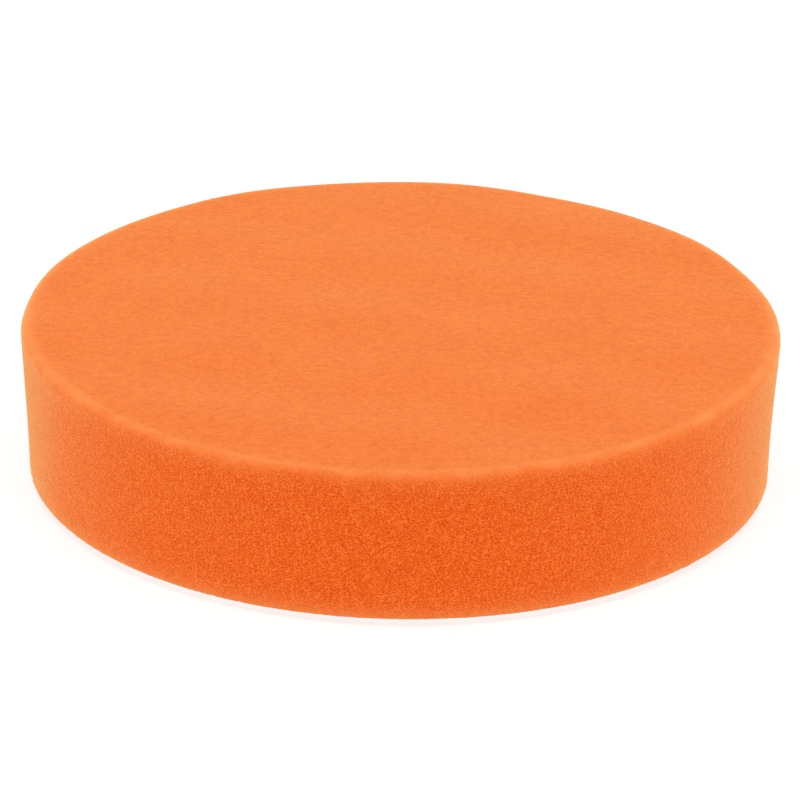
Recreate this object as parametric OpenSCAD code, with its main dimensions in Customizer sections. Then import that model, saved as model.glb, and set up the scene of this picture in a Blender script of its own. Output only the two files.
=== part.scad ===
// A flat foam polishing pad, 150 mm across, for a rotary or orbital car polisher.
// It lies loop side down with its working face up. The origin is at the middle of the loop side,
// the lowest face, and +Z is the pad's own axis.

/* [Foam disc] */
// Diameter of the working face, at the top of the wall
face_d = 150; // [75:1:200]
// Thickness of the foam
foam_t = 30.6; // [15:0.1:50]
// How much smaller the foam's underside is across than its working face
taper = 3; // [0:0.5:8]
// Radius of the worn-soft rim round the working face
rim_r = 1.8; // [0.5:0.1:5]
// Radius of the edge round the underside
foot_r = 0.8; // [0.3:0.1:4]

/* [Backing] */
// How far the backing stays inside the foam's underside, all round
backing_inset = 2; // [1:0.5:10]
// Thickness of the hot-melt film
glue_t = 0.2; // [0.1:0.05:1]
// Thickness of the knitted ground cloth
cloth_t = 0.4; // [0.2:0.05:1.5]
// Height of the loops below the cloth
pile_t = 0.8; // [0.4:0.1:3]
// How far the loops stay inside the cut edge of the cloth, all round
pile_inset = 0.5; // [0:0.1:3]

/* [Hidden] */
$fn = 180;

face_r = face_d / 2;
under_r = face_r - taper / 2;
backing_r = under_r - backing_inset;
pile_r = backing_r - pile_inset;
cloth_z = pile_t;
glue_z = cloth_z + cloth_t;
foam_z = glue_z + glue_t;
lean = atan((face_r - under_r) / foam_t);

// Middle of an edge rounding of radius r at height z, touching the leaning wall from inside
function round_x(r, z) = under_r + z * tan(lean) - r / cos(lean);

// The point where that rounding meets the wall
function on_wall(r, z) = [round_x(r, z) + r * cos(lean), z - r * sin(lean)];

// Half of the foam's section: flat faces, a leaning wall, and a round at the rim and at the foot
module foam_section() {
    rim_z = foam_t - rim_r;
    polygon([
        [0, 0],
        [round_x(foot_r, foot_r), 0],
        on_wall(foot_r, foot_r),
        on_wall(rim_r, rim_z),
        [round_x(rim_r, rim_z), foam_t],
        [0, foam_t]
    ]);
    translate([round_x(foot_r, foot_r), foot_r]) circle(r = foot_r);
    translate([round_x(rim_r, rim_z), rim_z]) circle(r = rim_r);
}

module layer(radius, thickness, z) {
    translate([0, 0, z]) cylinder(r = radius, h = thickness);
}

module foam_disc() {
    color("darkorange") translate([0, 0, foam_z]) rotate_extrude() foam_section();
}

module glue_film() {
    color("wheat") layer(backing_r, glue_t, glue_z);
}

module backing_cloth() {
    color("whitesmoke") layer(backing_r, cloth_t, cloth_z);
}

module loop_pile() {
    color("white") layer(pile_r, pile_t, 0);
}

foam_disc();
glue_film();
backing_cloth();
loop_pile();
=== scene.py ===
# %% [markdown]
# # A foam polishing pad
# This notebook dresses a plain CAD model of a polishing pad: a thick disc of orange open-cell foam with
# loop fabric glued to its underside. The CAD model gives every size and place. Here each layer is made
# again as the real material looks: foam full of small open cells, a wavy glue film, a knitted cloth,
# and thousands of nylon loops. One unit is one metre.

import bpy
import numpy as np
from mathutils import Matrix, Vector


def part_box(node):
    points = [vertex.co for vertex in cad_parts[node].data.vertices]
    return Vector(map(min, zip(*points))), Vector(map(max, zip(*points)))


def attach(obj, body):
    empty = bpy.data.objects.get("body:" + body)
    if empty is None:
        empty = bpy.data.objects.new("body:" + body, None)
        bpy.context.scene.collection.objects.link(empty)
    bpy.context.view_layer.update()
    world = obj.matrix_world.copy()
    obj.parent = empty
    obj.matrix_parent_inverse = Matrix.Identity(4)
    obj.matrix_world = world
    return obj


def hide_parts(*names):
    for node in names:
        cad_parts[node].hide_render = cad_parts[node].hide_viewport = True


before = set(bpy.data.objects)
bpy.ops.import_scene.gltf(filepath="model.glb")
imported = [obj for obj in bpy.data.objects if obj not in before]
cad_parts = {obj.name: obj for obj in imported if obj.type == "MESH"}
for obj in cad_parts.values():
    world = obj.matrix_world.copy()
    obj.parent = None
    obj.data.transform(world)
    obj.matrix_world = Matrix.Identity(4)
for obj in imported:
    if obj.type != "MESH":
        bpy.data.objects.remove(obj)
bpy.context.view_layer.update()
MM = 0.001

# %% [markdown]
# The four CAD solids are stacked discs. Their boxes say where each layer begins and ends and how wide
# it is, so every surface below is drawn between those heights and radii.


# %% Heights and radii from the frame
def layer_size(node):
    """Radius, lowest height and highest height of a CAD disc."""
    low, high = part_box(node)
    return (high.x - low.x) / 2, low.z, high.z


FOAM_R, FOAM_LOW, FOAM_TOP = layer_size("foam_disc")
FILM_R, FILM_LOW, FILM_TOP = layer_size("glue_film")
CLOTH_R, CLOTH_LOW, CLOTH_TOP = layer_size("backing_cloth")
PILE_R, PILE_LOW, PILE_TOP = layer_size("loop_pile")
print(f"foam {FOAM_R / MM:.1f} mm in radius, from {FOAM_LOW / MM:.1f} to {FOAM_TOP / MM:.1f} mm up")

# %% [markdown]
# Real foam is never quite regular, so the surfaces need soft, repeatable unevenness. A sum of plane waves
# with random directions gives it. A fixed seed makes the same pad on every run.


# %% A soft noise field
WAVES = 24
WAVE_SPREAD = (0.6, 1.5)


def soft_noise(points, size, seed):
    """Sum of sines of (direction . point + phase), each wave about `size` long, mostly within -1 to 1."""
    rng = np.random.default_rng(seed)
    direction = rng.normal(size=(WAVES, 3))
    direction /= np.linalg.norm(direction, axis=1)[:, None]
    direction *= (2 * np.pi / size) * rng.uniform(*WAVE_SPREAD, (WAVES, 1))
    phase = rng.uniform(0, 2 * np.pi, WAVES)
    return np.sin(points @ direction.T + phase).sum(1) / np.sqrt(WAVES)


across = np.column_stack([np.linspace(-FOAM_R, FOAM_R, 200), np.zeros((200, 2))])
sample = soft_noise(across, 5 * MM, 0)
print(f"5 mm noise across the pad runs from {sample.min():.2f} to {sample.max():.2f}")

# %% [markdown]
# A disc made from rings like a bicycle wheel has needle-thin triangles at its middle. A better net for a
# disc is the one a honeycomb uses: ring number k has 6k points, so triangles stay nearly equal from the
# middle to the edge. The net then runs over the edge in rows of constant count, each row turned by half
# a step, and comes back under the disc as a second net of rings. The underside of the foam is sealed by
# glue, so its net may be three times as coarse.


# %% A net of equal triangles over a whole coin
def ring_points(rings):
    """Ring number and place in the ring, for the rings 1 to `rings` of 6k points each."""
    k = np.repeat(np.arange(1, rings + 1), 6 * np.arange(1, rings + 1))
    first = 3 * k * (k - 1)
    return k, np.arange(len(k)) - first


def ring_faces(rings):
    """Triangles between each ring and the one inside it; point 0 is the middle."""
    k, j = ring_points(rings)
    sector, i = j // k, j % k

    def point(ring, place):
        return np.where(ring == 0, 0, 1 + 3 * ring * (ring - 1) + place % np.maximum(6 * ring, 1))

    outer, outer_next = point(k, j), point(k, j + 1)
    inner = point(k - 1, sector * (k - 1) + i)
    inner_before = point(k - 1, sector * (k - 1) + i - 1)
    fans = np.stack([inner, outer, outer_next], 1)
    return np.concatenate([fans, np.stack([inner_before, outer, inner], 1)[i > 0]])


def row_faces(first, count, rows):
    """Triangles over `rows` rows of `count` points, where each row is turned half a step."""
    j = np.arange(count)
    upper = first + np.arange(rows)[:, None] * count
    lower = upper + count
    left = np.stack([upper + j, lower + (j - 1) % count, lower + j], 2)
    right = np.stack([upper + j, lower + j, upper + (j + 1) % count], 2)
    return np.concatenate([left.reshape(-1, 3), right.reshape(-1, 3)])


def strip_faces(fine_first, coarse_first, coarse_count):
    """Triangles from a fine ring to a ring with a third as many points."""
    i = np.arange(coarse_count)
    fine = fine_first + np.stack([(3 * i + s) % (3 * coarse_count) for s in (-1, 0, 1, 2)])
    near, after = coarse_first + i, coarse_first + (i + 1) % coarse_count
    return np.concatenate([
        np.stack([fine[0], near, fine[1]], 1),
        np.stack([fine[1], near, fine[2]], 1),
        np.stack([fine[2], near, after], 1),
        np.stack([fine[2], after, fine[3]], 1),
    ])


print(f"a net of 10 rings has {len(ring_faces(10))} triangles")

# %% [markdown]
# The foam's section is drawn the way a turtle walks: start where the flat face ends, walk along the
# section, and turn the outward direction from straight up to straight down. It turns fast on the rim
# and on the foot, and not at all on the wall. Adding up the small steps gives the outline.

# %% The foam's section
RIM_R = 1.8 * MM
FOOT_R = 0.8 * MM
UNDER_IN = 1.5 * MM
UNDER_SHOWN = 3.2 * MM
WALK_STEPS = 4000
foam_height = FOAM_TOP - FOAM_LOW
LEAN = np.arctan(UNDER_IN / foam_height)
rounds_take = RIM_R * (1 + np.sin(LEAN)) + FOOT_R * (1 - np.sin(LEAN))
wall_length = (foam_height - rounds_take) / np.cos(LEAN)
lengths = [RIM_R * (np.pi / 2 + LEAN), wall_length, FOOT_R * (np.pi / 2 - LEAN), UNDER_SHOWN]
turn_at = np.cumsum([0.0, *lengths])
facing = [np.pi / 2, -LEAN, -LEAN, -np.pi / 2, -np.pi / 2]
FACE_FLAT_R = FOAM_R - RIM_R


def section(s):
    """Radius, height and facing angle at walked length s: the integral of (sin angle, -cos angle)."""
    walk = np.linspace(0, turn_at[-1], WALK_STEPS + 1)
    angle = np.interp(walk, turn_at, facing)
    middle = (angle[1:] + angle[:-1]) / 2
    step = walk[1]
    radius = FACE_FLAT_R + np.concatenate([[0], np.cumsum(np.sin(middle) * step)])
    height = FOAM_TOP - np.concatenate([[0], np.cumsum(np.cos(middle) * step)])
    return np.interp(s, walk, radius), np.interp(s, walk, height), np.interp(s, walk, angle)


ends_off = section(turn_at[-1])[1] - FOAM_LOW
print(f"section {turn_at[-1] / MM:.1f} mm long, ends {ends_off / MM:+.3f} mm off the foam's underside")

# %% [markdown]
# Open-cell foam is a net of thin struts around small hollows. The mesh carries the larger hollows, about
# 0.7 mm apart, and the material adds the finer ones. On the honeycomb net every third point can be the
# bottom of a hollow, with six strut points around it, so the hollows cost no more triangles than a
# smooth surface of the same net would.

# %% Points of the foam
RINGS = 180
AROUND = 6 * RINGS
ROWS = 3 * round(turn_at[-1] / (FACE_FLAT_R / RINGS) / 3)
COARSE_RINGS = RINGS // 3
COARSE_GAP = 1.2 * MM


def foam_net():
    """Points, outward directions and hollow marks over the face, the edge rows and the underside."""
    k, j = ring_points(RINGS)
    turn = 2 * np.pi * j / (6 * k)
    flat = np.stack([np.cos(turn), np.sin(turn), 0 * turn], 1)
    face = flat * (FACE_FLAT_R * k / RINGS)[:, None] + [0, 0, FOAM_TOP]
    face = np.concatenate([[[0, 0, FOAM_TOP]], face])
    face_hollow = np.concatenate([[True], (k + j % k) % 3 == 0])

    row = np.arange(1, ROWS + 1)[:, None]
    place = np.arange(AROUND)[None, :]
    turn = (2 * np.pi * (place + row / 2) / AROUND).ravel()
    radius, height, angle = (np.repeat(v, AROUND) for v in section(row.ravel() * turn_at[-1] / ROWS))
    flat = np.stack([np.cos(turn), np.sin(turn)], 1)
    edge = np.column_stack([flat * radius[:, None], height])
    edge_out = np.column_stack([flat * np.cos(angle)[:, None], np.sin(angle)])
    edge_hollow = ((place + 2 * row) % 3 == 0).ravel()

    k, j = ring_points(COARSE_RINGS)
    turn = 2 * np.pi * (j / (6 * k) + ROWS / 2 / AROUND)
    under_r = (section(turn_at[-1])[0] - COARSE_GAP) * k / COARSE_RINGS
    under = np.column_stack([under_r * np.cos(turn), under_r * np.sin(turn), 0 * turn + FOAM_LOW])
    under = np.concatenate([[[0, 0, FOAM_LOW]], under])

    points = np.concatenate([face, edge, under])
    face_out = np.tile([0, 0, 1.0], (len(face), 1))
    under_out = np.tile([0, 0, -1.0], (len(under), 1))
    out = np.concatenate([face_out, edge_out, under_out])
    hollow = np.concatenate([face_hollow, edge_hollow, np.zeros(len(under), bool)])
    return points, out, hollow


def foam_faces():
    """Triangles over the face, the edge rows, the step to the coarse net, and the coarse net."""
    last_ring = 1 + 3 * RINGS * (RINGS - 1)
    last_row = last_ring + ROWS * AROUND
    under_first = last_row + AROUND
    coarse_ring = under_first + 1 + 3 * COARSE_RINGS * (COARSE_RINGS - 1)
    return np.concatenate([
        ring_faces(RINGS),
        row_faces(last_ring, AROUND, ROWS),
        strip_faces(last_row, coarse_ring, 6 * COARSE_RINGS),
        ring_faces(COARSE_RINGS)[:, ::-1] + under_first,
    ])


foam_points, foam_out, foam_hollow = foam_net()
cell_pitch = np.sqrt(3) * FACE_FLAT_R / RINGS
print(f"{len(foam_points)} points, {foam_hollow.sum()} cells about {cell_pitch / MM:.2f} mm apart")

# %% [markdown]
# Now the relief. The points slide a little along the surface, so that no two cells look alike. Hollows
# go in, here and there a strut is cut away and two cells join, and the other struts stand a little proud
# or shy. The whole disc is very slightly out of true, as foam that was cut by a die springs back
# unevenly: the wall pulls in a little at its waist. The part under the backing stays flat, because the
# glue film presses on it.

# %% Cells and relief
FACE_DEPTH = 0.035 * MM
WALL_DEPTH = 0.055 * MM
STRUT_RISE = 0.012 * MM
JITTER = 0.105 * MM
DRIFT = 0.13 * MM
DRIFT_SIZE = 3.4 * MM
CUT_SHARE = 0.16
CUT_DEPTH = 0.6
# The higher this is, the more alike the depths of the cells are.
EVENNESS = 10
OUT_OF_TRUE = 0.12 * MM
OUT_OF_TRUE_SIZE = 38 * MM
WAIST = 0.22 * MM
WAIST_SIZE = 60 * MM
# The waist is pulled in by this share of WAIST everywhere, and by this much more or less in patches.
WAIST_EVEN = 0.8
WAIST_PATCHES = 0.3
FACES_DOWN = -0.99
# A facing within two percent of straight up or down counts as flat.
STILL_FLAT = 1.02


def foam_relief(points, out, hollow):
    """Moves points along the surface by jitter and drift, and along `out` by
    -depth * pore + strut noise + out of true - waist * sin(pi * share of the height)."""
    rng = np.random.default_rng(11)
    slide = rng.uniform(-JITTER, JITTER, points.shape)
    slide += DRIFT * np.stack([soft_noise(points, DRIFT_SIZE, seed) for seed in (1, 2, 3)], 1)
    slide -= out * (slide * out).sum(1)[:, None]

    wall = 1 - np.clip(out[:, 2], 0, 1)
    depth = FACE_DEPTH + (WALL_DEPTH - FACE_DEPTH) * wall
    cut_away = (rng.random(len(points)) < CUT_SHARE) & ~hollow
    pore = np.where(hollow, rng.gamma(EVENNESS, 1 / EVENNESS, len(points)), 0)
    pore += np.where(cut_away, CUT_DEPTH, 0)
    rise = -depth * pore + np.where(hollow, 0, STRUT_RISE * rng.normal(size=len(points)))

    up = (points[:, 2] - FOAM_LOW) / foam_height
    side = np.clip(1 - abs(out[:, 2]) * STILL_FLAT, 0, 1)
    rise += OUT_OF_TRUE * soft_noise(points, OUT_OF_TRUE_SIZE, 5) * np.clip(out[:, 2] + side, 0, 1)
    pulled = WAIST_EVEN + WAIST_PATCHES * soft_noise(points, WAIST_SIZE, 6)
    rise -= WAIST * side * np.sin(np.pi * np.clip(up, 0, 1)) * pulled

    under_backing = np.clip((FILM_R - np.hypot(points[:, 0], points[:, 1])) / MM, 0, 1)
    free = np.where(out[:, 2] < FACES_DOWN, 1 - under_backing, 1)[:, None]
    return points + (slide + out * rise[:, None]) * free, pore


foam_shape, foam_pore = foam_relief(foam_points, foam_out, foam_hollow)
print(f"deepest cell {foam_pore.max():.1f} times as deep as the usual one")

# %% [markdown]
# The rim and the foot are painted paler. On the rim this is a painted highlight for light that enters
# the cut corner from two sides; on the foot it is painted light bounced up from the table. The mark
# fades a millimetre or two away from each corner.

# %% Painted light on the corners
GLOW_IN = 1.6 * MM
GLOW_DOWN = 1.6 * MM
GLOW_FOOT = 1.5 * MM
GLOW_CREST = 0.6 * RIM_R
RIM_GLOW = 0.8
RIM_PATCHES = 0.16
RIM_PATCH_SIZE = 7 * MM
RIM_SPECKS = 0.06
RIM_SPECK_SIZE = 2 * MM
FOOT_GLOW = 1.2


def paint_corner_light(points, out):
    """Painted light on the rim and the foot: exp(-(way / reach)^2) inwards from the crest of the rim,
    exp(-way / reach) down from it and up from the foot; way is measured along the surface."""
    away = np.hypot(points[:, 0], points[:, 1])
    on_face = np.maximum(FACE_FLAT_R - away, 0)
    turned = np.arccos(np.clip(out[:, 2], 0, 1)) * RIM_R
    below = np.maximum(FOAM_TOP - RIM_R - points[:, 2], 0)
    past_crest = turned + below - on_face - GLOW_CREST
    inwards, down = np.minimum(past_crest, 0), np.maximum(past_crest, 0)
    rim = np.exp(-((inwards / GLOW_IN) ** 2) - down / GLOW_DOWN)
    patches = RIM_PATCHES * soft_noise(points, RIM_PATCH_SIZE, 8)
    specks = RIM_SPECKS * soft_noise(points, RIM_SPECK_SIZE, 9)
    rim *= RIM_GLOW + patches + specks
    # Painted light bounced up from the table, at the foot.
    foot = FOOT_GLOW * np.exp(-np.maximum(points[:, 2] - FOAM_LOW, 0) / GLOW_FOOT)
    return np.maximum(rim, foot)


foam_corner_light = paint_corner_light(foam_points, foam_out)
print(f"{(foam_corner_light > 0.5).mean():.0%} of the foam's points are in a pale corner")

# %% [markdown]
# A mesh is put in with whole arrays. Numbers that the material needs, such as how deep in a hollow a
# point lies, ride along as attributes of the points.


# %% Meshes from arrays
def make_piece(name, points, faces, **attributes):
    """A mesh object at the origin with smooth shading and one float attribute per keyword."""
    mesh = bpy.data.meshes.new(name)
    mesh.from_pydata(points.tolist(), [], faces.tolist())
    mesh.polygons.foreach_set("use_smooth", np.ones(len(mesh.polygons), bool))
    for key, values in attributes.items():
        mesh.attributes.new(key, "FLOAT", "POINT").data.foreach_set("value", values.astype(np.float32))
    mesh.update()
    piece = bpy.data.objects.new(name, mesh)
    bpy.context.scene.collection.objects.link(piece)
    print(f"{name}: {len(mesh.vertices)} points, {len(mesh.loops) - 2 * len(mesh.polygons)} triangles")
    return piece


# %% [markdown]
# The foam disc is the piece that polishes. Its net, its relief and its marks are ready, so it only has
# to be put in. The face mark is 1 on the flat face, which a blade cut, and fades to 0 over the rim; the
# material uses it to paint the face paler, a painted highlight for the light from above.

# %% The foam
foam = make_piece(
    "foam",
    foam_shape,
    foam_faces(),
    pore=foam_pore,
    corner=foam_corner_light,
    sliced=np.clip(foam_out[:, 2], 0, 1),
)

# %% [markdown]
# The film that joins cloth and foam is hot-melt glue, a fifth of a millimetre thick. Nothing of it shows
# but its edge, where it has crept a little past the cloth in some places and stopped short in others.
# The film and the cloth are both thin coins, so one function draws them: rings over one side, a rounded
# edge, and rings over the other.


# %% A thin coin
EDGE_ROWS = 4


def thin_coin(rings, radius, low, high):
    """Points, a mark for those of the lower side, and faces of a coin: rings of 6k points above and
    below, and between them rows on a half circle of radius (high - low) / 2."""
    k, j = ring_points(rings)
    turn = 2 * np.pi * j / (6 * k)
    flat = np.stack([np.cos(turn), np.sin(turn)], 1) * (k / rings)[:, None]
    flat = np.concatenate([[[0, 0]], flat])
    half = (high - low) / 2
    above = np.column_stack([flat * (radius - half), np.full(len(flat), high)])

    count = 6 * rings
    row = np.arange(1, EDGE_ROWS)[:, None]
    turn = (2 * np.pi * (np.arange(count)[None, :] + row / 2) / count).ravel()
    tilt = np.repeat(np.pi / 2 - np.pi * row.ravel() / EDGE_ROWS, count)
    reach = radius - half + half * np.cos(tilt)
    height = (low + high) / 2 + half * np.sin(tilt)
    edge = np.column_stack([reach * np.cos(turn), reach * np.sin(turn), height])

    shift = np.pi * EDGE_ROWS / count
    turned = flat @ np.array([[np.cos(shift), np.sin(shift)], [-np.sin(shift), np.cos(shift)]])
    below = np.column_stack([turned * (radius - half), np.full(len(flat), low)])

    edge_first = len(above)
    below_first = edge_first + len(edge)
    ring_first = 1 + 3 * rings * (rings - 1)
    last = row_faces(0, count, 1)
    to_ring = np.where(last < count, below_first - count + last, below_first + ring_first + last - count)
    first = np.where(last < count, ring_first + last, edge_first + last - count)
    faces = np.concatenate([
        ring_faces(rings),
        first,
        row_faces(edge_first, count, EDGE_ROWS - 2),
        to_ring,
        ring_faces(rings)[:, ::-1] + below_first,
    ])
    points = np.concatenate([above, edge, below])
    is_below = np.arange(len(points)) >= below_first
    return points, is_below, faces


print(f"a coin of 10 rings has {len(thin_coin(10, FILM_R, FILM_LOW, FILM_TOP)[2])} triangles")

# %% [markdown]
# The film starts as a true coin. Then soft noise moves its outer few millimetres in and out, as glue that
# was pressed flat while it was hot, and its middle stays a flat sheet between foam and cloth.

# %% The glue film
FILM_RINGS = 72
CREEP = 0.35 * MM
CREEP_BAND = 4 * MM
CREEP_SIZE = 9 * MM
CREEP_FINE_SIZE = 2.5 * MM


def creep(points, radius, amount, seed):
    """Moves the outer band of a coin by amount * (coarse noise + fine noise / 2) away from the middle."""
    away = np.hypot(points[:, 0], points[:, 1])
    near_edge = np.clip((away - radius + CREEP_BAND) / CREEP_BAND, 0, 1) ** 2
    flat = points * [1, 1, 0]
    coarse = soft_noise(flat, CREEP_SIZE, seed)
    fine = soft_noise(flat, CREEP_FINE_SIZE, seed + 1)
    grow = amount * (coarse + 0.5 * fine)
    return points + flat * (near_edge * grow / np.maximum(away, MM))[:, None]


film_points, _, film_faces = thin_coin(FILM_RINGS, FILM_R, FILM_LOW, FILM_TOP)
film = make_piece("glue_edge_film", creep(film_points, FILM_R, CREEP, 21), film_faces)

# %% [markdown]
# The ground cloth that holds the loops is thin, so it shows every small unevenness of the film under it.
# Its knitting is too fine for the mesh and comes with the material further down.

# %% The knitted ground cloth
CLOTH_RINGS = 90
PUCKER = 0.02 * MM
PUCKER_SIZE = 5 * MM
CUT_EDGE = 0.1 * MM

cloth_points, cloth_below, cloth_faces = thin_coin(CLOTH_RINGS, CLOTH_R, CLOTH_LOW, CLOTH_TOP)
cloth_points[:, 2] += np.where(cloth_below, PUCKER * soft_noise(cloth_points, PUCKER_SIZE, 33), 0)
cloth = make_piece("knit_backing_cloth", creep(cloth_points, CLOTH_R, CUT_EDGE, 31), cloth_faces)

# %% [markdown]
# The loops are what the hooks of the polisher's plate catch. Each is a tiny arch of yarn with both feet
# in the cloth. On the real cloth a brush has combed them this way and that, so they lean, twist and
# overlap. One loop is five short three-sided tubes, and arrays repeat it over the cloth. The knitting
# machine's two guide bars each lay a set of loops, so they are two pieces, leaning opposite ways.

# %% The loops
LOOP_RINGS = 43
LOOP_BENDS = 6
YARN_SIDES = 3
YARN_R = 0.075 * MM
LOOP_HALF_WIDTH = 0.55 * MM
LOOP_LEAN = 0.5 * MM
LOOP_MARGIN = 1.1 * MM
LOOP_SCATTER = 0.2 * MM
LOOP_ROOT = 0.1 * MM
HEADING_SPREAD = 0.9
WIDTH_SHARES = (0.7, 1.25)
DROP_SHARES = (0.72, 0.97)
LEAN_SHARES = (0.2, 1.0)


def loop_pile(name, lean, seed):
    """Arches hanging from the cloth: along = w cos t, down = h (sin t)^0.7, aside = lean (sin t)^1.5."""
    rng = np.random.default_rng(seed)
    k, j = ring_points(LOOP_RINGS)
    reach = (PILE_R - LOOP_MARGIN) * (k - 0.5) / LOOP_RINGS
    turn = 2 * np.pi * (j + rng.uniform(0, 1, len(k))) / (6 * k)
    count = len(k)
    foot = np.stack([reach * np.cos(turn), reach * np.sin(turn)], 1)
    foot += rng.normal(0, LOOP_SCATTER, (count, 2))

    heading = rng.normal(0, HEADING_SPREAD, count) + np.pi / 2
    width = LOOP_HALF_WIDTH * rng.uniform(*WIDTH_SHARES, count)
    drop = (PILE_TOP - PILE_LOW - YARN_R) * rng.uniform(*DROP_SHARES, count)
    slant = lean * rng.uniform(*LEAN_SHARES, count)
    along = np.stack([np.cos(heading), np.sin(heading), 0 * heading], 1)
    aside = np.stack([-np.sin(heading), np.cos(heading), 0 * heading], 1)

    t = np.linspace(0, np.pi, LOOP_BENDS)
    down = np.sin(t)[None, :, None]
    centre = np.column_stack([foot, np.full(count, PILE_TOP + LOOP_ROOT)])[:, None, :]
    line = centre + along[:, None] * (width[:, None] * np.cos(t))[..., None]
    line = line + aside[:, None] * slant[:, None, None] * down**1.5
    line[:, :, 2] -= (drop + LOOP_ROOT)[:, None] * np.sin(t) ** 0.7

    forward = np.gradient(line, axis=1)
    forward /= np.linalg.norm(forward, axis=2)[..., None]
    first = np.cross(forward, aside[:, None])
    first /= np.linalg.norm(first, axis=2)[..., None]
    second = np.cross(forward, first)
    spin = 2 * np.pi * np.arange(YARN_SIDES) / YARN_SIDES
    ring = first[:, :, None] * np.cos(spin)[:, None]
    ring = ring + second[:, :, None] * np.sin(spin)[:, None]
    points = (line[:, :, None] + YARN_R * ring).reshape(-1, 3)

    bend, side = np.meshgrid(np.arange(LOOP_BENDS - 1), np.arange(YARN_SIDES), indexing="ij")
    a = bend * YARN_SIDES + side
    b = bend * YARN_SIDES + (side + 1) % YARN_SIDES
    one = np.concatenate([
        np.stack([a, b, b + YARN_SIDES], 2).reshape(-1, 3),
        np.stack([a, b + YARN_SIDES, a + YARN_SIDES], 2).reshape(-1, 3),
        [[2, 1, 0], np.array([0, 1, 2]) + (LOOP_BENDS - 1) * YARN_SIDES],
    ])
    first_point = np.arange(count) * LOOP_BENDS * YARN_SIDES
    faces = (one[None] + first_point[:, None, None]).reshape(-1, 3)
    return make_piece(name, points, faces)


front_loops = loop_pile("front_bar_loops", LOOP_LEAN, 41)
back_loops = loop_pile("back_bar_loops", -LOOP_LEAN, 42)

# %% [markdown]
# Materials are written as sums. The class below holds one socket of a material's node tree, and
# Python's own + - * on it add Math nodes, so `1 - pore * 0.5` reads as it is meant. Any other node
# comes from its `node` method, which sets the node's settings first and then its inputs.


# %% Shader sums
class Wire:
    """One output socket of a material. Arithmetic with numbers or other wires adds a Math node."""

    def __init__(self, tree, socket=None):
        self.tree = tree
        self.socket = socket

    def node(self, kind, settings=None, inputs=None, output=0):
        """Adds a node, sets its settings, then links or sets its inputs, and returns one output."""
        made = self.tree.nodes.new(kind)
        for key, value in (settings or {}).items():
            if key == "stops":
                ramp = made.color_ramp.elements
                while len(ramp) < len(value):
                    ramp.new(1.0)
                for stop, (position, colour) in zip(ramp, value):
                    stop.position, stop.color = position, colour
            else:
                setattr(made, key, value)
        for key, value in (inputs or {}).items():
            if isinstance(value, Wire):
                self.tree.links.new(value.socket, made.inputs[key])
            else:
                made.inputs[key].default_value = value
        return Wire(self.tree, made.outputs[output])

    def maths(self, operation, first, second=0.0):
        """One Math node on one or two values."""
        return self.node("ShaderNodeMath", {"operation": operation}, {0: first, 1: second})

    def clamped(self):
        """This wire held between 0 and 1."""
        return self.node("ShaderNodeClamp", None, {"Value": self})

    def mix(self, first, second, kind="MIX"):
        """A colour between two colours, this wire being the share of the second."""
        settings = {"data_type": "RGBA", "blend_type": kind}
        return self.node("ShaderNodeMix", settings, {"Factor": self, 6: first, 7: second}, output=2)

    def __add__(self, other):
        return self.maths("ADD", self, other)

    def __radd__(self, other):
        return self.maths("ADD", other, self)

    def __sub__(self, other):
        return self.maths("SUBTRACT", self, other)

    def __rsub__(self, other):
        return self.maths("SUBTRACT", other, self)

    def __mul__(self, other):
        return self.maths("MULTIPLY", self, other)

    def __rmul__(self, other):
        return self.maths("MULTIPLY", other, self)


def finish_with(piece, name, settings, varying):
    """Gives a piece a material: plain numbers on the shader, and `varying(tree)` for what changes."""
    material = bpy.data.materials.new(name)
    material.use_nodes = True
    shader = material.node_tree.nodes["Principled BSDF"]
    for key, value in settings.items():
        shader.inputs[key].default_value = value
    for key, wire in varying(Wire(material.node_tree)).items():
        material.node_tree.links.new(wire.socket, shader.inputs[key])
    piece.data.materials.clear()
    piece.data.materials.append(material)
    print(f"{name}: {len(material.node_tree.nodes)} nodes")


# %% [markdown]
# Foam colours light in two ways. Seen square on, the eye looks into the cells, where light meets orange
# again and again before it leaves: a deep orange, darkest at the bottom of a cell and palest on the
# struts round it. Seen edge on, the eye meets only the tips of the struts, so any foam turns peach
# and even towards its outline. That second part is what the shader's sheen is for.
#
# The fine cells are bowls, deepest at the middle of each cell, roughened by a finer noise and a little
# flatter than they are wide. Face and wall are one material. A blade sliced the face, which left it
# more even, and it has soft blotches where it was handled. The face is also painted paler, a painted
# highlight for the light from above and the sheen of a face seen edge on.

# %% Foam material
CELL_SIZE = 0.40 * MM
CELL_SQUASH = 1.25
CELL_EDGE = 0.80
BOWL_STEEPNESS = 2.0
GRAIN_SIZE = 0.25 * MM
BLOTCH_SIZE = 1.5 * MM
BOWL_SHARE = 0.72
PORE_SHARE = 0.04
GRAIN_SHARE = 1.35
SHALLOWER = 0.10
SLICED_AND_TOP_LIT_SHARE = 0.7
BLOTCH_FROM = 0.4
WALL_BLOTCH = 0.4
FACE_BLOTCH = 2.2
PAINTED_CORNER_SHARE = 0.78
STRUT = (0.93, 0.180, 0.032, 1)
CELL = (0.84, 0.114, 0.006, 1)
HOLLOW = (0.72, 0.060, 0.0008, 1)
DEEP = (0.54, 0.014, 0.0002, 1)
BY_DEPTH = [(0.0, STRUT), (0.34, CELL), (0.65, HOLLOW), (1.0, DEEP)]
# Painted highlight: the paler colour of the flat face.
SLICED_AND_TOP_LIT = (0.785, 0.139, 0.0165, 1)
# Painted highlight: the paler colour of the rim and the foot.
PAINTED_CORNER_LIGHT = (0.91, 0.262, 0.071, 1)
SHADE = (0.88, 0.70, 0.60, 1)
FOAM_SHEEN = {
    "Specular IOR Level": 0.02,
    "Sheen Weight": 1.0,
    "Sheen Roughness": 0.45,
    "Sheen Tint": (0.86, 0.59, 0.235, 1),
}


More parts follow.
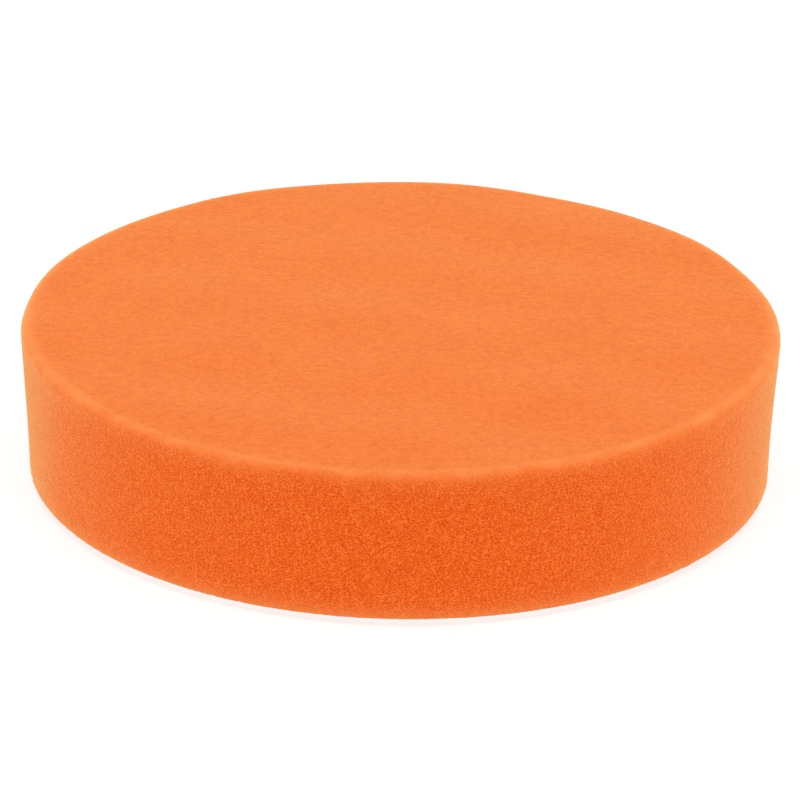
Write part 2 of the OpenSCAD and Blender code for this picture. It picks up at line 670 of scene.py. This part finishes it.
def foam_varying(tree):
    """Depth = bowl + pore + grain; colour by depth, then the sliced face painted paler, blotches and
    painted light on the corners.
    """
    place = tree.node("ShaderNodeTexCoord", output="Object")
    pore = tree.node("ShaderNodeAttribute", {"attribute_name": "pore"}, output="Fac")
    corner = tree.node("ShaderNodeAttribute", {"attribute_name": "corner"}, output="Fac")
    sliced = tree.node("ShaderNodeAttribute", {"attribute_name": "sliced"}, output="Fac")
    squashed = tree.node("ShaderNodeMapping", None, {"Vector": place, "Scale": (1, 1, CELL_SQUASH)})
    cells = {"Vector": squashed, "Scale": 1 / CELL_SIZE, "Randomness": 0.8}
    from_middle = tree.node("ShaderNodeTexVoronoi", {"feature": "F1"}, cells)
    fine = {"Vector": squashed, "Scale": 1 / GRAIN_SIZE, "Detail": 1.0}
    grain = tree.node("ShaderNodeTexNoise", None, fine)
    broad = {"Vector": place, "Scale": 1 / BLOTCH_SIZE, "Detail": 2.0, "Roughness": 0.6}
    blotch = tree.node("ShaderNodeTexNoise", None, broad)
    bowl = ((CELL_EDGE - from_middle) * BOWL_STEEPNESS).clamped()
    depth = bowl * BOWL_SHARE + pore * PORE_SHARE + (grain - 0.5) * GRAIN_SHARE
    depth = (depth - SHALLOWER).clamped()
    colour = tree.node("ShaderNodeValToRGB", {"stops": BY_DEPTH}, {"Fac": depth})
    # Painted highlight: the flat face is painted paler.
    colour = (sliced * SLICED_AND_TOP_LIT_SHARE).mix(colour, SLICED_AND_TOP_LIT)
    uneven = ((blotch - BLOTCH_FROM) * (WALL_BLOTCH + sliced * FACE_BLOTCH)).clamped()
    colour = uneven.mix(colour, SHADE, "MULTIPLY")
    # Painted light: the rim and the foot are painted paler.
    colour = (corner * PAINTED_CORNER_SHARE).clamped().mix(colour, PAINTED_CORNER_LIGHT)
    relief = {"Strength": 0.3, "Distance": 0.08 * MM, "Height": 1 - depth}
    bump = tree.node("ShaderNodeBump", None, relief)
    return {"Base Color": colour, "Roughness": 0.84 + depth * 0.14, "Normal": bump}


finish_with(foam, "orange open-cell foam", FOAM_SHEEN, foam_varying)

# %% [markdown]
# The backing's materials are quiet ones. The film is waxy and slightly yellow, a little cloudy where it
# is thicker. The cloth is off-white nylon with painted shade between its stitches, which stand in chains
# of small Vs that wander a little. The loops are the same nylon, with a soft shine, and a little greyer
# in patches where they were handled.

# %% Backing materials
FILM_CLEAR = (0.80, 0.73, 0.55, 1)
FILM_CLOUDY = (0.90, 0.87, 0.77, 1)
WALE = 1.3 * MM
COURSE = 1.0 * MM
WANDER = 9 * MM
FIBRE_SIZE = 0.25 * MM
CLOUD_SIZE = MM / 0.3
HANDLED_SIZE = MM / 0.11
STITCH_TOP = (0.84, 0.84, 0.82, 1)
# Painted shade: the grey between the stitches.
STITCH_GAP_SHADE = (0.42, 0.41, 0.39, 1)
NYLON_LIGHT = (0.88, 0.88, 0.87, 1)
NYLON_GREY = (0.72, 0.71, 0.69, 1)
WAX = {"Specular IOR Level": 0.45}
KNIT = {"Sheen Weight": 0.3, "Sheen Roughness": 0.5}
NYLON = {"Roughness": 0.5, "Sheen Weight": 0.4, "Sheen Roughness": 0.35, "Specular IOR Level": 0.4}


def film_varying(tree):
    """Colour, roughness and relief all from one soft cloud."""
    place = tree.node("ShaderNodeTexCoord", output="Object")
    soft = {"Vector": place, "Scale": 1 / CLOUD_SIZE, "Detail": 3.0}
    cloud = tree.node("ShaderNodeTexNoise", None, soft)
    relief = {"Strength": 0.3, "Distance": 0.05 * MM, "Height": cloud}
    bump = tree.node("ShaderNodeBump", None, relief)
    colour = cloud.mix(FILM_CLEAR, FILM_CLOUDY)
    return {"Base Color": colour, "Roughness": 0.3 + cloud * 0.25, "Normal": bump}


def cloth_varying(tree):
    """Chains of V stitches: column = |fract(x / wale) - 1/2| * 2,
    stitch = fract(y / course + 0.6 column), ridge = sqrt(1 - column^4) * (0.35 + 0.65 sin(pi stitch))."""
    place = tree.node("ShaderNodeTexCoord", output="Object")
    slow = {"Vector": place, "Scale": 1 / WANDER, "Detail": 1.0}
    wander = tree.node("ShaderNodeTexNoise", None, slow)
    x = tree.node("ShaderNodeSeparateXYZ", None, {"Vector": place}) + wander * WALE
    y = tree.node("ShaderNodeSeparateXYZ", None, {"Vector": place}, output=1)
    column = tree.maths("ABSOLUTE", tree.maths("FRACT", x * (1 / WALE)) - 0.5) * 2
    stitch = tree.maths("FRACT", y * (1 / COURSE) + column * 0.6)
    ridge = tree.maths("SQRT", (1 - tree.maths("POWER", column, 4.0)).clamped())
    ridge = ridge * (0.35 + 0.65 * tree.maths("SINE", stitch * np.pi))
    hairy = {"Vector": place, "Scale": 1 / FIBRE_SIZE, "Detail": 2.0}
    fibre = tree.node("ShaderNodeTexNoise", None, hairy)
    relief = {"Strength": 0.5, "Distance": 0.06 * MM, "Height": ridge + fibre * 0.3}
    # Painted shade: grey in the gaps between the stitches.
    colour = (ridge * 1.2 + fibre * 0.4 - 0.3).clamped().mix(STITCH_GAP_SHADE, STITCH_TOP)
    bump = tree.node("ShaderNodeBump", None, relief)
    return {"Base Color": colour, "Roughness": 0.9 - ridge * 0.12, "Normal": bump}


def yarn_varying(tree):
    """Grey where a soft noise is over a third."""
    place = tree.node("ShaderNodeTexCoord", output="Object")
    soft = {"Vector": place, "Scale": 1 / HANDLED_SIZE, "Detail": 4.0}
    patch = tree.node("ShaderNodeTexNoise", None, soft)
    return {"Base Color": ((patch - 0.35) * 1.8).clamped().mix(NYLON_LIGHT, NYLON_GREY)}


finish_with(film, "waxy hot-melt film", WAX, film_varying)
finish_with(cloth, "knitted nylon ground", KNIT, cloth_varying)
for loops in (front_loops, back_loops):
    finish_with(loops, "brushed nylon yarn", NYLON, yarn_varying)

# %% [markdown]
# Every piece is tied to the CAD model: it rides on the pad's one body, and it stands for the CAD disc
# that it replaces.

# %% Tie the pieces to the frame
for piece in (foam, film, cloth, front_loops, back_loops):
    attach(piece, "root")
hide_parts("foam_disc")
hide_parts("glue_film")
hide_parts("backing_cloth")
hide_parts("loop_pile")
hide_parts("loop_pile")
print(f"cloth cut to a circle {2 * CLOTH_R / MM:.1f} mm across")

# %% [markdown]
# The pad lies on a light table: a wide round top that glows a little, so the pad casts hardly any
# shadow, and that sweeps up at its edge, so its end hardly shows from low down. A plain square would show
# its corners against the room from some sides, and a round top looks the same from all of them.

# %% The table
scene = bpy.context.scene
FLOOR_R = 4.0
FLAT_R = 2.0
EDGE_RISE = 0.5
FLOOR_MIDDLE = 0.01
FLOOR_STEPS = 16
FLOOR_AROUND = 72
PALE = (0.35, 0.35, 0.35, 1)
WHITE = (1, 1, 1, 1)
TABLE_GLOW = 0.7


def make_floor():
    """A round table top that is flat, and past FLAT_R rises as the square of the way to its edge."""
    r = np.append(FLOOR_MIDDLE, np.linspace(FLAT_R / 2, FLOOR_R, FLOOR_STEPS))[:, None]
    turn = 2 * np.pi * np.arange(FLOOR_AROUND) / FLOOR_AROUND
    up = EDGE_RISE * (np.maximum(r - FLAT_R, 0) / (FLOOR_R - FLAT_R)) ** 2
    points = np.stack([r * np.cos(turn), r * np.sin(turn), up + 0 * turn], 2).reshape(-1, 3)
    row, place = np.meshgrid(np.arange(FLOOR_STEPS), np.arange(FLOOR_AROUND), indexing="ij")
    a = row * FLOOR_AROUND + place
    b = row * FLOOR_AROUND + (place + 1) % FLOOR_AROUND
    faces = np.stack([a, a + FLOOR_AROUND, b + FLOOR_AROUND, b], 2).reshape(-1, 4).tolist()
    mesh = bpy.data.meshes.new("floor")
    mesh.from_pydata(points.tolist(), [], [*faces, list(range(FLOOR_AROUND))])
    mesh.polygons.foreach_set("use_smooth", np.ones(len(mesh.polygons), bool))
    floor = bpy.data.objects.new("floor", mesh)
    scene.collection.objects.link(floor)
    material = bpy.data.materials.new("pale floor")
    material.use_nodes = True
    shader = material.node_tree.nodes["Principled BSDF"]
    shader.inputs["Base Color"].default_value = PALE
    shader.inputs["Roughness"].default_value = 0.9
    shader.inputs["Specular IOR Level"].default_value = 0.1
    shader.inputs["Emission Color"].default_value = WHITE
    shader.inputs["Emission Strength"].default_value = TABLE_GLOW
    mesh.materials.append(material)


make_floor()
print(f"a table {2 * FLOOR_R:.0f} m across")

# %% [markdown]
# Round the table are a white room, a broad soft lamp above, one behind and a weaker one to each side. The
# front of the wall gets the least light, so its colour is deepest there and lightens to its sides.

# %% The lamps
ROOM_GLOW = 0.67
# Each lamp's place, size and power, in metres and watts.
LAMPS = {
    "above": ((0.0, -0.35, 0.95), 0.6, 4.1),
    "back": ((0.0, 0.9, 0.45), 0.7, 2.4),
    "left": ((-0.9, 0.1, 0.3), 0.6, 1.2),
    "right": ((0.9, 0.1, 0.3), 0.6, 1.4),
}


def soft_lamp(name, place, size, power):
    """A square area lamp that looks at the pad."""
    data = bpy.data.lights.new(name, "AREA")
    data.size = size
    data.energy = power
    lamp = bpy.data.objects.new(name, data)
    lamp.location = place
    lamp.rotation_euler = (-Vector(place)).to_track_quat("-Z", "Y").to_euler()
    scene.collection.objects.link(lamp)


world = bpy.data.worlds.new("white room")
scene.world = world
world.use_nodes = True
world.node_tree.nodes["Background"].inputs["Color"].default_value = WHITE
world.node_tree.nodes["Background"].inputs["Strength"].default_value = ROOM_GLOW
for name, (place, size, power) in LAMPS.items():
    soft_lamp(name, place, size, power)
scene.view_settings.view_transform = "Standard"
print(f"{len(LAMPS)} lamps")

# %% [markdown]
# The camera stands 1.2 metres off and a little over 24 degrees up, seen from the middle of the foam's
# underside. Its lens is long, so the far edge of the disc is hardly smaller than the near one. It is
# rolled by one degree, and aims at a point a little below the middle of the foam.

# %% Camera
CAMERA_DISTANCE = 1.2
CAMERA_ELEVATION = np.radians(24.25)
CAMERA_ROLL = np.radians(1.01)
FOCAL = 270.8
SENSOR_WIDTH = 36.0
SEES_TO = 50.0
AIM_UP = 13.15 * MM
aim = Vector((0.0, 0.0, FOAM_LOW + AIM_UP))
camera = bpy.data.objects.new("camera", bpy.data.cameras.new("camera"))
camera.data.lens = FOCAL
camera.data.sensor_width = SENSOR_WIDTH
camera.data.clip_end = SEES_TO
offset = Vector((0, -np.cos(CAMERA_ELEVATION), np.sin(CAMERA_ELEVATION))) * CAMERA_DISTANCE
camera.location = Vector((0, 0, FOAM_LOW)) + offset
look = (aim - camera.location).to_track_quat("-Z", "Y").to_matrix().to_4x4()
camera.matrix_world = Matrix.Translation(camera.location) @ look @ Matrix.Rotation(CAMERA_ROLL, 4, "Z")
scene.collection.objects.link(camera)
scene.camera = camera
print("camera", [round(v, 3) for v in camera.location])
